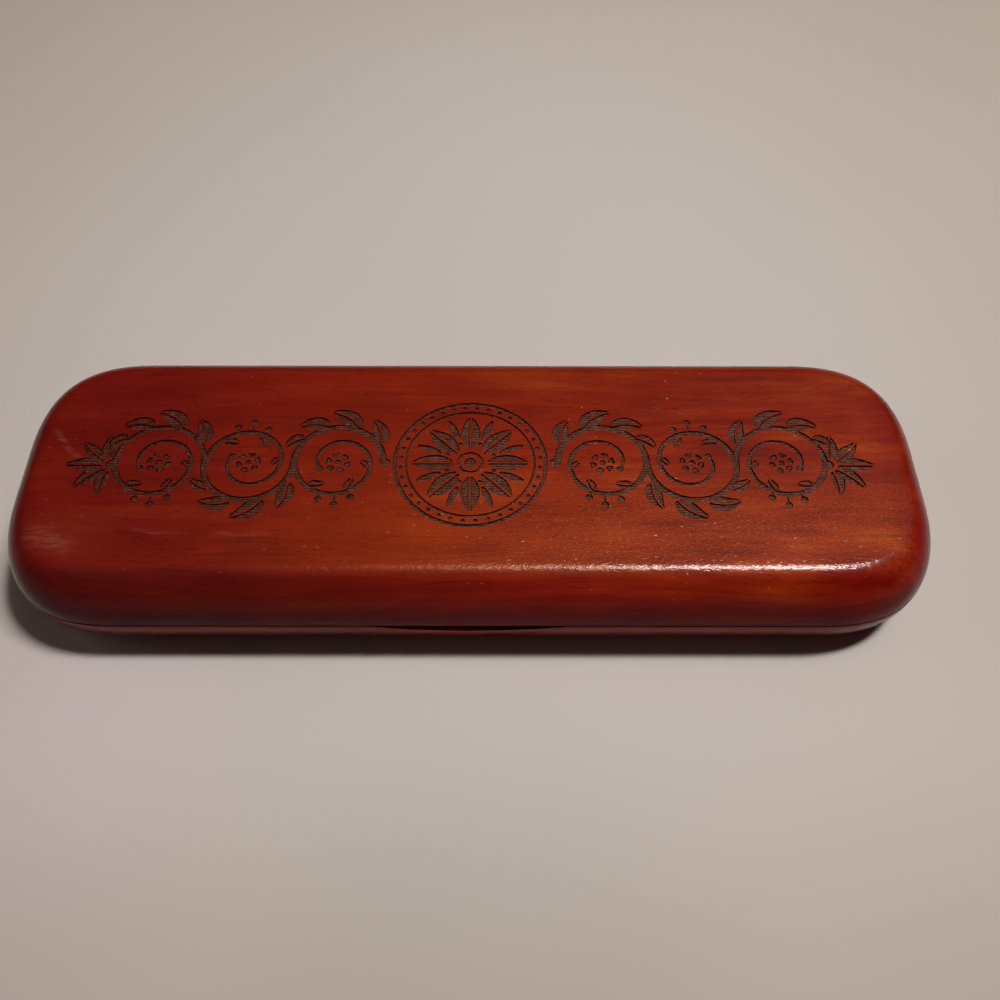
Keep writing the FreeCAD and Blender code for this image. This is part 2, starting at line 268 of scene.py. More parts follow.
def scoop_cutter():
    r = ((SCOOP_W / 2) ** 2 + SCOOP_D ** 2) / (2 * SCOOP_D)
    tilt = math.atan2(SCOOP_D, SCOOP_IN)
    along = np.array([0, math.cos(tilt), math.sin(tilt)])
    up = np.array([0, -math.sin(tilt), math.cos(tilt)])
    foot = np.array([0, -WIDTH / 2, BASE_RIM - SCOOP_D])
    half = math.asin(24.0 / r)
    a = np.linspace(-half, half, 121)
    line = [foot + np.array([r * math.sin(k), 0, 0]) + up * (r - r * math.cos(k)) for k in a]
    top = [line[-1] + up * 6, line[0] + up * 6]
    return prism_cutter("scoop", np.array(line + top) - along * 4, along * 10.6)


# ------------------------------------------------------------------ shading normals
def dress(o, up, rim, keep_sharp=32):
    """Exact normals on the moulded outside and flat face, and normals by angle elsewhere."""
    me = o.data
    me.polygons.foreach_set("use_smooth", np.ones(len(me.polygons), bool))
    me.set_sharp_from_angle(angle=math.radians(keep_sharp))
    nl = len(me.loops)
    cn = np.zeros(nl * 3, np.float32)
    me.corner_normals.foreach_get("vector", cn)
    cn = cn.reshape(-1, 3).astype(float)
    co = np.zeros(len(me.vertices) * 3, np.float32)
    me.vertices.foreach_get("co", co)
    co = co.reshape(-1, 3).astype(float) / MM
    lv = np.zeros(nl, np.int32)
    me.loops.foreach_get("vertex_index", lv)
    mat = np.zeros(len(me.polygons), np.int32)
    me.polygons.foreach_get("material_index", mat)
    tot = np.zeros(len(me.polygons), np.int32)
    me.polygons.foreach_get("loop_total", tot)
    lm = np.repeat(mat, tot)
    pick = np.where(lm == OUTER)[0]
    vs = np.unique(lv[pick])
    inset, nor = inset_of(co[vs, :2])
    h = (co[vs, 2] - rim) * up
    vn = np.zeros((len(co), 3))
    for block in np.array_split(np.arange(len(vs)), max(1, len(vs) // 2000)):
        d = (inset[block, None] - TABLE_P[None, :, 0]) ** 2 + (h[block, None] - TABLE_P[None, :, 1]) ** 2
        k = d.argmin(1)
        side, rise = TABLE_N[k, 0], TABLE_N[k, 1]
        vn[vs[block]] = np.c_[nor[block] * side[:, None], rise * up]
    cn[pick] = vn[lv[pick]]
    cn[lm == FLAT] = (0, 0, up)
    me.normals_split_custom_set([tuple(v) for v in cn])
    me.update()


def weld(me, dist=0.0004):
    bm = bmesh.new()
    bm.from_mesh(me)
    bmesh.ops.remove_doubles(bm, verts=bm.verts, dist=dist * MM)
    bmesh.ops.dissolve_degenerate(bm, edges=bm.edges, dist=dist * MM * 0.5)
    bm.to_mesh(me)
    bm.free()


# ------------------------------------------------------------------ engraved ornament: a rosette between two leafy scrolls
def resample(pts, step):
    pts = np.asarray(pts, float)
    d = np.r_[0, np.cumsum(np.hypot(*np.diff(pts, axis=0).T))]
    n = max(4, int(round(d[-1] / step)) + 1)
    s = np.linspace(0, d[-1], n)
    return np.c_[np.interp(s, d, pts[:, 0]), np.interp(s, d, pts[:, 1])], s / d[-1]


def line_normals(p):
    t = np.gradient(p, axis=0)
    t /= np.maximum(np.hypot(t[:, 0], t[:, 1]), 1e-9)[:, None]
    return np.c_[-t[:, 1], t[:, 0]]


def band(pts, width, step=0.34):
    p, t = resample(pts, step)
    return [("band", p, line_normals(p), np.maximum(width(t), 0.02))]


def outlines(shape, ramp):
    """A shape's edge on the face, and the edge of its floor."""
    if shape[0] == "band":
        _, p, n, w = shape
        outer = np.r_[p + n * w[:, None], (p - n * w[:, None])[::-1]]
        idx = np.where(w > ramp * 1.6)[0]
        if len(idx) < 3:
            return outer, None
        a, b = idx[0], idx[-1] + 1
        q, m, v = p[a:b], n[a:b], np.maximum(w[a:b] - ramp, ramp * 0.5)
        return outer, np.r_[q + m * v[:, None], (q - m * v[:, None])[::-1]]
    _, c, ring = shape
    d = ring - c
    r = np.hypot(d[:, 0], d[:, 1])
    k = np.maximum(r - ramp, r * 0.35) / np.maximum(r, 1e-9)
    return ring, c + d * k[:, None]


def dot(x, y, r, n=18):
    a = np.linspace(0, 2 * math.pi, n, endpoint=False)
    c = np.array([x, y], float)
    return [("blob", c, c + r * np.c_[np.cos(a), np.sin(a)])]


def arc(cx, cy, r0, r1, a0, a1, n=80, ease=1.0):
    u = np.linspace(0, 1, n)
    a = np.radians(a0 + (a1 - a0) * u)
    r = r0 + (r1 - r0) * u ** ease
    return np.c_[cx + r * np.cos(a), cy + r * np.sin(a)]


def bent(p0, ang, length, bend, n=24):
    u = np.linspace(0, 1, n)
    a = np.radians(ang + bend * u)
    d = np.c_[np.cos(a), np.sin(a)] * length / (n - 1)
    return np.array(p0) + np.r_[[[0, 0]], np.cumsum((d[1:] + d[:-1]) / 2, axis=0)]


def leaf(p0, ang, length, width, bend=0.0, lobes=0, rib=0.15):
    """A pointed leaf in two halves, with an uncut rib between them."""
    c, t = resample(bent(p0, ang, length, bend), 0.3)
    n = line_normals(c)
    env = np.sin(np.pi * np.clip(t, 0, 1) ** 0.72) ** 0.85 * width
    out = []
    for side in (1, -1):
        w = env.copy()
        if lobes:
            w *= 1 - 0.32 * (0.5 + 0.5 * np.cos(2 * np.pi * lobes * t)) ** 3 * (t > 0.08) * (t < 0.93)
        inner = np.minimum(rib, w * 0.5)
        out.append(("band", (c + side * n * ((w + inner) / 2)[:, None])[1:-1], n[1:-1],
                    np.maximum((w - inner) / 2, 0.02)[1:-1]))
    return out


def petal(cx, cy, ang, r0, r1, width, split=True, power=0.9):
    a = math.radians(ang)
    c, t = resample([(cx + r0 * math.cos(a), cy + r0 * math.sin(a)), (cx + r1 * math.cos(a), cy + r1 * math.sin(a))], 0.28)
    n = line_normals(c)
    env = width * np.sin(np.pi * t ** power) ** 0.8
    if not split:
        return [("band", c[1:-1], n[1:-1], np.maximum(env, 0.02)[1:-1])]
    out = []
    for side in (1, -1):
        inner = np.minimum(0.16, env * 0.5)
        out.append(("band", (c + side * n * ((env + inner) / 2)[:, None])[1:-1], n[1:-1],
                    np.maximum((env - inner) / 2, 0.02)[1:-1]))
    return out


def flower(cx, cy, r, petals, turn=0.0):
    out = dot(cx, cy, r * 0.24, 14)
    for k in range(petals):
        out += petal(cx, cy, turn + 360.0 * k / petals, r * 0.34, r, r * 0.28, split=False, power=1.5)
    return out


def ring(cx, cy, r, w):
    return (band(arc(cx, cy, r, r, 0, 184, 90), lambda t: t * 0 + w)
            + band(arc(cx, cy, r, r, 180, 364, 90), lambda t: t * 0 + w))


def ornament():
    out = ring(0, 0, 14.0, 0.36) + ring(0, 0, 11.9, 0.22)
    for k in range(36):
        a = math.radians(10 * k + 5)
        out += dot(12.95 * math.cos(a), 12.95 * math.sin(a), 0.42, 12)
    for k in range(8):
        a = 22.5 + 45 * k
        out += petal(0, 0, 45 * k, 3.0, 11.0, 1.85)
        out += petal(0, 0, a, 5.6, 11.0, 0.70, split=False)
        out += dot(4.7 * math.cos(math.radians(a)), 4.7 * math.sin(math.radians(a)), 0.42, 12)
    out += ring(0, 0, 2.2, 0.28) + dot(0, 0, 1.10, 18)
    side = []
    R, x0 = 8.3, 16.2
    cs = [x0 + R * (1 + 2 * i) for i in range(3)]
    sg = [1, -1, 1]
    path = []
    for c, s in zip(cs, sg):
        a = np.radians(np.linspace(180, 0, 60))
        path.append(np.c_[c + R * np.cos(a), s * R * np.sin(a)])
    side += band(np.concatenate(path), lambda t: 0.66 - 0.20 * t)
    side += dot(x0 - 0.5, 0, 0.95, 20)
    for c, s in zip(cs, sg):
        def turn(phi):
            """Radius of the scroll's inward turn, which parts from the stem as that leaves for the next scroll."""
            return R + (3.5 - R) * ((24.0 - phi) / 408.0) ** 1.05

        def at(phi, r):
            return np.array([c + r * math.cos(math.radians(phi)), s * r * math.sin(math.radians(phi))])
        sp = np.array([at(k, turn(k)) for k in np.linspace(23.9, -384, 200)])
        side += band(sp, lambda t: np.minimum(0.22 + 8 * t, 0.60 - 0.26 * t))
        side += dot(*at(-384, 3.5), 0.66, 16)
        side += flower(c, 0.0, 2.55, 6, turn=s * 15)
        for phi, ln, wd, bd in ((150, 6.4, 1.55, -52), (113, 7.2, 1.75, -56), (76, 6.4, 1.6, -56), (42, 4.6, 1.2, -50)):
            side += leaf(at(phi, R + 0.5), s * (phi - 90 + 40), ln, wd, bend=s * bd)
        for phi, ln, wd in ((-42, 3.6, 0.95), (-104, 3.4, 0.90), (-166, 2.7, 0.72)):
            side += leaf(at(phi, turn(phi) - 0.35), s * (phi - 90 - 38), ln, wd, bend=-s * 34)
        for phi, up in ((-70, 1.5), (-90, 2.4), (-110, 1.5)):
            q = turn(phi)
            side += dot(*at(phi, q + up), 0.70, 16)
            side += band([at(phi, q + 0.2), at(phi, q + up - 0.5)], lambda t: 0.16 + t * 0, step=0.25)
    xe = cs[2] + R
    for a, ln, wd, bd in ((0, 7.4, 1.55, 0), (34, 6.9, 1.4, 18), (-34, 6.9, 1.4, -18), (70, 6.0, 1.2, 30), (-70, 6.0, 1.2, -30)):
        side += leaf((xe + 1.3 * math.cos(math.radians(a)) + 0.5, 1.3 * math.sin(math.radians(a)) - 0.4), a, ln, wd, bend=bd)
    side += dot(xe + 0.4, -0.4, 1.0, 18)
    for sh in side:
        out.append(sh)
        if sh[0] == "band":
            out.append(("band", sh[1] * [-1, 1], sh[2] * [-1, 1], sh[3]))
        else:
            out.append(("blob", sh[1] * [-1, 1], (sh[2] * [-1, 1])[::-1]))
    return out


def inside(points, poly):
    x, y = points[:, 0], points[:, 1]
    ok = np.zeros(len(points), bool)
    px, py = poly[:, 0], poly[:, 1]
    qx, qy = np.roll(px, -1), np.roll(py, -1)
    for a, b, c, d in zip(px, py, qx, qy):
        if b == d:
            continue
        ok ^= ((b > y) != (d > y)) & (x < (c - a) * (y - b) / (d - b) + a)
    return ok


def near(points, line, reach):
    """Distance from each point to the nearest of the line's points, up to reach, by a coarse grid."""
    cell = reach
    key = {}
    for i, (x, y) in enumerate(line):
        key.setdefault((int(x // cell), int(y // cell)), []).append(i)
    out = np.full(len(points), reach)
    for i, (x, y) in enumerate(points):
        gx, gy = int(x // cell), int(y // cell)
        best = reach
        for a in (-1, 0, 1):
            for b in (-1, 0, 1):
                for j in key.get((gx + a, gy + b), ()):
                    d = math.hypot(line[j][0] - x, line[j][1] - y)
                    if d < best:
                        best = d
        out[i] = best
    return out


def engraved_face(z):
    """The lid's flat face with the ornament cut into it: vertices, triangles, and which triangles are cut."""
    rim = PLAN - EDGE_IN * PLAN_N
    coords, edges, loops, kinds = list(map(tuple, rim)), [], [list(range(len(rim)))], ["face"]
    shapes = ornament()
    inner_polys, outer_polys = [], []
    for sh in shapes:
        outer, inner = outlines(sh, RAMP)
        for poly, kind in ((outer, "edge"), (inner, "floor")):
            if poly is None:
                continue
            area = 0.5 * np.sum(poly[:, 0] * np.roll(poly[:, 1], -1) - np.roll(poly[:, 0], -1) * poly[:, 1])
            if area < 0:
                poly = poly[::-1]
            (outer_polys if kind == "edge" else inner_polys).append(poly)
            base = len(coords)
            coords += list(map(tuple, poly))
            loops.append(list(range(base, base + len(poly))))
            kinds.append(kind)
    # points over the floor, so that it can be uneven
    step = 0.36
    for poly in inner_polys:
        lo, hi = poly.min(0), poly.max(0)
        gx = np.arange(math.ceil(lo[0] / step), math.floor(hi[0] / step) + 1) * step
        gy = np.arange(math.ceil(lo[1] / step), math.floor(hi[1] / step) + 1) * step
        if not len(gx) or not len(gy):
            continue
        g = np.array([(x, y) for x in gx for y in gy])
        g = g[inside(g, poly)]
        if not len(g):
            continue
        fine, _ = resample(np.r_[poly, poly[:1]], 0.12)
        g = g[near(g, fine, 0.3) > 0.16]
        coords += list(map(tuple, g + SEED.uniform(-0.07, 0.07, g.shape)))
    v, e, f, ov, oe, of = delaunay_2d_cdt([Vector(c) for c in coords], [], loops, 1, 1e-5, True)
    v = np.array([tuple(p) for p in v])
    is_cut = np.array([any(kinds[k] == "edge" for k in ids) for ids in of])
    is_face = np.array([any(kinds[k] == "face" for k in ids) for ids in of])
    f = [tuple(t) for t in f]
    keep = [i for i in range(len(f)) if is_face[i]]
    f, is_cut = [f[i] for i in keep], is_cut[keep]
    # the edge of the union: where cut and uncut triangles meet
    touch_cut, touch_top = np.zeros(len(v), bool), np.zeros(len(v), bool)
    for t, c in zip(f, is_cut):
        for k in t:
            (touch_cut if c else touch_top)[k] = True
    border = touch_cut & touch_top
    owner = {}
    for t, c in zip(f, is_cut):
        for a, b in ((t[0], t[1]), (t[1], t[2]), (t[2], t[0])):
            owner.setdefault((min(a, b), max(a, b)), []).append(c)
    line = []
    for (a, b), cs in owner.items():
        if len(cs) == 2 and cs[0] != cs[1]:
            n = max(1, int(np.hypot(*(v[a] - v[b])) / 0.05))
            for k in range(n + 1):
                line.append(v[a] + (v[b] - v[a]) * k / n)
    line = np.array(line)
    deep = np.where(touch_cut & ~border)[0]
    d = near(v[deep], line, 0.4)
    # rounded shoulders, then an uneven floor
    fall = np.clip(d / (RAMP * 0.95), 0, 1)
    rough = 0.045 * np.sin(v[deep, 0] * 2.1 + 1.3 * np.sin(v[deep, 1] * 1.7)) + SEED.uniform(-0.05, 0.05, len(deep))
    zz = np.full(len(v), z)
    zz[deep] = z - fall * (ENGRAVE + rough * np.clip((d - 0.05) / 0.15, 0, 1))
    ccw = []
    for t in f:
        a, b, c = (v[k] for k in t)
        ccw.append(t if (b[0] - a[0]) * (c[1] - a[1]) - (b[1] - a[1]) * (c[0] - a[0]) > 0 else t[::-1])
    return np.c_[v, zz], ccw, is_cut


# ------------------------------------------------------------------ build the two wooden halves
def body_half(name, rim, up, cutters):
    o = shell(name, rim, up)
    cut(o, cutters)
    weld(o.data)
    return o


lid = body_half("lid_moulded", LID_RIM, 1, fittings(1))
base = body_half("base_moulded", BASE_RIM, -1, [scoop_cutter()] + fittings(-1))

ENGRAVED = 5
lid.data.materials.append(TEMP[0])
pv, pf, pc = engraved_face(TOP_Z)
bm = bmesh.new()
bm.from_mesh(lid.data)
bmesh.ops.delete(bm, geom=[f for f in bm.faces if f.material_index == FLAT], context="FACES_ONLY")
vs = [bm.verts.new(Vector(p) * MM) for p in pv]
for t, c in zip(pf, pc):
    f = bm.faces.new([vs[k] for k in t])
    f.material_index = ENGRAVED if c else FLAT
    f.smooth = True
bmesh.ops.remove_doubles(bm, verts=[v for v in bm.verts if abs(v.co.z - TOP_Z * MM) < 1e-6], dist=0.002 * MM)
bm.to_mesh(lid.data)
bm.free()
dress(lid, 1, LID_RIM)
dress(base, -1, BASE_RIM)


# ------------------------------------------------------------------ node helper
class Net:
    """A material's node tree, written as calls."""

    def __init__(self, name):
        self.m = bpy.data.materials.new(name)
        self.m.use_nodes = True
        self.t = self.m.node_tree
        self.t.nodes.clear()

    def add(self, kind, props=None, **inputs):
        n = self.t.nodes.new("ShaderNode" + kind)
        for k, v in (props or {}).items():
            setattr(n, k, v)
        for k, v in inputs.items():
            self.put(n, k, v)
        return n

    def put(self, n, k, v):
        s = n.inputs[int(k[1:])] if k[0] == "i" and k[1:].isdigit() else n.inputs[k.replace("_", " ")]
        if isinstance(v, bpy.types.NodeSocket):
            self.t.links.new(v, s)
        else:
            s.default_value = v

    def coords(self):
        """Object coordinates in millimetres."""
        c = self.add("TexCoord")
        return self.add("VectorMath", {"operation": "SCALE"}, i0=c.outputs["Object"], Scale=1000.0).outputs[0]

    def vec(self, v, mul=(1, 1, 1), add=(0, 0, 0)):
        return self.add("VectorMath", {"operation": "MULTIPLY_ADD"}, i0=v, i1=mul, i2=add).outputs[0]

    def noise(self, v, scale=1.0, detail=2.0, rough=0.5, dist=0.0, color=False):
        n = self.add("TexNoise", None, Vector=v, Scale=scale, Detail=detail, Roughness=rough, Distortion=dist)
        return n.outputs["Color" if color else "Fac"]

    def voronoi(self, v, scale=1.0, rnd=1.0, feature="F1"):
        n = self.add("TexVoronoi", {"feature": feature}, Vector=v, Scale=scale, Randomness=rnd)
        return n

    def math(self, op, a, b=0.0, c=0.0, clamp=False):
        n = self.add("Math", {"operation": op, "use_clamp": clamp}, i0=a, i1=b)
        if op in ("MULTIPLY_ADD", "SMOOTH_MIN", "WRAP", "COMPARE"):
            self.put(n, "i2", c)
        return n.outputs[0]

    def span(self, v, a, b, c=0.0, d=1.0, smooth=True):
        n = self.add("MapRange", {"interpolation_type": "SMOOTHSTEP" if smooth else "LINEAR"}, Value=v)
        for k, x in zip(("From Min", "From Max", "To Min", "To Max"), (a, b, c, d)):
            n.inputs[k].default_value = x
        return n.outputs[0]

    def mix(self, fac, a, b, kind="MIX"):
        n = self.add("Mix", {"data_type": "RGBA", "blend_type": kind})
        for s, v in ((n.inputs[0], fac), (n.inputs[6], a), (n.inputs[7], b)):
            if isinstance(v, bpy.types.NodeSocket):
                self.t.links.new(v, s)
            else:
                s.default_value = v if s == n.inputs[0] else (*v, 1.0)
        return n.outputs[2]

    def ramp(self, fac, stops, mode="LINEAR"):
        n = self.add("ValToRGB")
        self.t.links.new(fac, n.inputs[0])
        r = n.color_ramp
        r.interpolation = mode
        while len(r.elements) > 1:
            r.elements.remove(r.elements[-1])
        for i, (p, c) in enumerate(stops):
            e = r.elements[0] if i == 0 else r.elements.new(p)
            e.position = p
            e.color = (*c, 1.0)
        return n.outputs[0]

    def bump(self, height, distance, strength=1.0, normal=None):
        n = self.add("Bump", None, Height=height, Strength=strength, Distance=distance)
        if normal is not None:
            self.put(n, "Normal", normal)
        return n.outputs[0]

    def surface(self, **inputs):
        p = self.add("BsdfPrincipled")
        for k, v in inputs.items():
            k = k.replace("_", " ")
            if isinstance(v, bpy.types.NodeSocket):
                self.t.links.new(v, p.inputs[k])
            else:
                p.inputs[k].default_value = (*v, 1.0) if isinstance(v, tuple) else v
        o = self.add("OutputMaterial")
        self.t.links.new(p.outputs[0], o.inputs[0])
        return self.m


# ------------------------------------------------------------------ wood
def wood_colour(g, p, shift, deep=0.0, calm=(0.8, 0.8)):
    """Long-grained red hardwood: growth bands, streaks, fibres and short dark pores, from solid coordinates.
    calm is how strongly the figure shows at the left and at the right end."""
    figure = g.span(g.add("SeparateXYZ", None, Vector=p).outputs["X"], -50.0, 70.0, calm[0], calm[1])
    p = g.vec(p, (1, 1, 1), shift)
    wob = g.noise(g.vec(p, (1 / 75, 1 / 22, 1 / 22)), 1.0, 2.0, 0.5, color=True)
    wob = g.add("VectorMath", {"operation": "SUBTRACT"}, i0=wob, i1=(0.5, 0.5, 0.5)).outputs[0]
    q = g.add("VectorMath", {"operation": "MULTIPLY_ADD"}, i0=wob, i1=(0.0, 9.0, 9.0), i2=p).outputs[0]
    yz = g.vec(q, (0.02, 1, 1), (0, 9.0, 52.0))
    r = g.add("VectorMath", {"operation": "LENGTH"}, i0=yz).outputs["Value"]
    band = g.add("TexNoise", {"noise_dimensions": "1D"}, W=g.math("MULTIPLY", r, 0.42), Scale=1.0, Detail=4.0, Roughness=0.6).outputs["Fac"]
    streak = g.noise(g.vec(q, (0.014, 0.62, 0.62)), 1.0, 7.0, 0.62)
    fibre = g.noise(g.vec(q, (0.055, 4.2, 4.2)), 1.0, 3.0, 0.6)
    cloud = g.noise(g.vec(p, (1 / 55, 1 / 24, 1 / 24)), 1.0, 2.0, 0.45)
    mott = g.noise(g.vec(q, (0.065, 0.20, 0.20), (3, 9, 4)), 1.0, 3.0, 0.55)
    t = g.math("MULTIPLY_ADD", band, 0.22, g.math("MULTIPLY", streak, 0.24))
    t = g.math("MULTIPLY_ADD", fibre, 0.11, g.math("MULTIPLY_ADD", mott, 0.30, t))
    t = g.math("MULTIPLY_ADD", cloud, 0.28, g.math("SUBTRACT", t, 0.575))
    t = g.math("MULTIPLY_ADD", t, figure, 0.5 - deep)
    col = g.ramp(t, [(0.28, (0.080, 0.0030, 0.0016)), (0.40, (0.165, 0.0064, 0.0020)), (0.50, (0.255, 0.0130, 0.0028)),
                     (0.59, (0.335, 0.0280, 0.0042)), (0.70, (0.420, 0.0560, 0.0080))])
    cell = g.voronoi(g.vec(q, (0.30, 2.0, 2.0)), 1.0)
    pore = g.span(cell.outputs["Distance"], 0.14, 0.28, 1.0, 0.0)
    some = g.span(g.noise(g.vec(q, (0.05, 0.25, 0.25)), 1.0, 2.0, 0.5), 0.44, 0.60)
    pore = g.math("MULTIPLY", pore, some)
    col = g.mix(g.math("MULTIPLY", pore, 0.54), col, (0.040, 0.004, 0.003))
    long = g.noise(g.vec(q, (0.045, 1.3, 1.3), (5, 2, 8)), 1.0, 2.0, 0.5)
    col = g.mix(g.math("MULTIPLY", g.span(long, 0.58, 0.70), 0.30), col, (0.075, 0.005, 0.003))
    # pale specks: partly dust in the pores, partly painted glints where the lacquer catches the light; they are also
    # raised in the bump
    dust_and_glint = g.voronoi(g.vec(p, (0.42, 1.25, 1.25), (7, 3, 9)), 1.0)
    few = g.add("SeparateXYZ", None, Vector=dust_and_glint.outputs["Color"]).outputs["X"]
    dust_and_glint_speck = g.math("MULTIPLY", g.span(dust_and_glint.outputs["Distance"], 0.05, 0.17, 1.0, 0.0), g.span(few, 0.74, 0.90))
    col = g.mix(g.math("MULTIPLY", dust_and_glint_speck, 0.30), col, (0.55, 0.20, 0.11))
    return col, pore, dust_and_glint_speck, q, p


def lacquered(name, shift, deep=0.0, tone=None, calm=(0.8, 0.8)):
    g = Net(name)
    p = g.coords()
    col, pore, dust_and_glint_speck, q, pp = wood_colour(g, p, shift, deep, calm)
    if tone is not None:
        col = tone(g, p, col)
    n = g.add("SeparateXYZ", None, Vector=g.add("TexCoord").outputs["Normal"])
    end = g.span(g.math("ABSOLUTE", n.outputs["X"]), 0.18, 0.72, 0.0, 1.0)
    col = g.mix(end, col, g.mix(1.0, col, (0.72, 0.33, 0.55), "MULTIPLY"))
    # the lacquer follows the wood: soft orange peel, fibre lines and sunken pores
    peel = g.noise(g.vec(p, (0.9, 1.25, 1.25)), 1.0, 1.0, 0.5)
    fine = g.noise(g.vec(q, (2.0, 3.6, 3.6)), 1.0, 1.0, 0.5)
    height = g.math("MULTIPLY_ADD", fine, 0.66, peel)
    height = g.math("MULTIPLY_ADD", pore, -0.12, height)
    height = g.math("MULTIPLY_ADD", dust_and_glint_speck, 0.35, height)
    nor = g.bump(height, 0.000046, 1.0)
    scuff = g.span(g.noise(g.vec(p, (0.09, 0.05, 0.07), (3, 7, 1)), 1.0, 4.0, 0.6), 0.52, 0.70)
    rough = g.math("MULTIPLY_ADD", scuff, 0.10, 0.42)
    graze = g.add("LayerWeight", None, Blend=0.5).outputs["Facing"]
    return g.surface(Base_Color=col, Roughness=rough, Specular_IOR_Level=0.02, Normal=nor,
                     Coat_Weight=g.span(graze, 0.50, 0.88, 0.22, 0.62), Coat_Roughness=0.16, Coat_IOR=1.45, Coat_Normal=nor)


def scratch(g, p, a, b, wide, amount):
    """A faint pale rub from a to b (x, y in millimetres)."""
    a, b = np.array(a, float), np.array(b, float)
    t = (b - a) / np.hypot(*(b - a))
    ln = float(np.hypot(*(b - a)))
    s = g.add("SeparateXYZ", None, Vector=p)
    wig = g.noise(g.vec(p, (0.10, 0.10, 0.10), tuple(a.tolist() + [0.0])), 1.0, 1.0, 0.5)
    dx = g.math("SUBTRACT", s.outputs["X"], float(a[0]))
    dy = g.math("SUBTRACT", s.outputs["Y"], float(a[1]))
    along = g.math("MULTIPLY_ADD", dx, float(t[0]), g.math("MULTIPLY", dy, float(t[1])))
    across = g.math("MULTIPLY_ADD", dx, float(-t[1]), g.math("MULTIPLY", dy, float(t[0])))
    across = g.math("MULTIPLY_ADD", g.math("SUBTRACT", wig, 0.5), 2.6, across)
    m = g.span(g.math("ABSOLUTE", across), 0.0, wide, 1.0, 0.0)
    m = g.math("MULTIPLY", m, g.span(along, -0.5, ln * 0.3, 0.0, 1.0))
    m = g.math("MULTIPLY", m, g.span(along, ln * 0.7, ln, 1.0, 0.0))
    m = g.math("MULTIPLY", m, g.span(g.noise(g.vec(p, (0.35, 1.6, 1.6)), 1.0, 3.0, 0.6), 0.34, 0.70))
    top = g.span(s.outputs["Z"], TOP_Z - 1.5, TOP_Z - 0.2)
    return g.math("MULTIPLY", g.math("MULTIPLY", m, amount), top)


